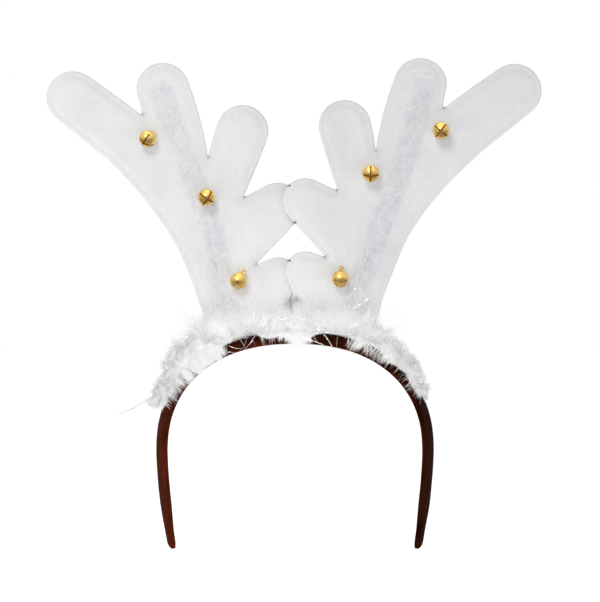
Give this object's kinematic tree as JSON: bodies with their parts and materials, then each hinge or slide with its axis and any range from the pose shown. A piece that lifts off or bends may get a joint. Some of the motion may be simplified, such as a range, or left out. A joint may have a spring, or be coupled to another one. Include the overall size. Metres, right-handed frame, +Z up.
{
  "type": "reindeer antler headband",
  "caption": "Arched satin-covered headband carrying two sewn felt antlers with gold jingle bells and a fluffy white trim round their bases.",
  "frame": {"origin": "top centre of the band's inner face, where it sits on the head", "axes": "+Z up, away from the head; +Y towards the back of the head; +X to the wearer's left, the right-hand side seen from the front"},
  "size_m": [0.3074, 0.0318, 0.3044],
  "materials": {
    "satin": "satin",
    "felt": "matt, brushed",
    "stiffener": "matt",
    "gold": "polished",
    "fluff": "fluffy",
    "thread": "matt",
    "tinsel": "metallic film"
  },
  "bodies": {
    "root": {"headband": "satin", "antler_left_front": "felt", "antler_left_back": "felt", "antler_left_stiffener": "stiffener", "antler_right_front": "felt", "antler_right_back": "felt", "antler_right_stiffener": "stiffener", "bell_1": "gold", "bell_2": "gold", "bell_3": "gold", "bell_4": "gold", "bell_5": "gold", "bell_6": "gold", "fur_trim_front": "fluff", "fur_trim_back": "fluff"}
  },
  "joints": []
}
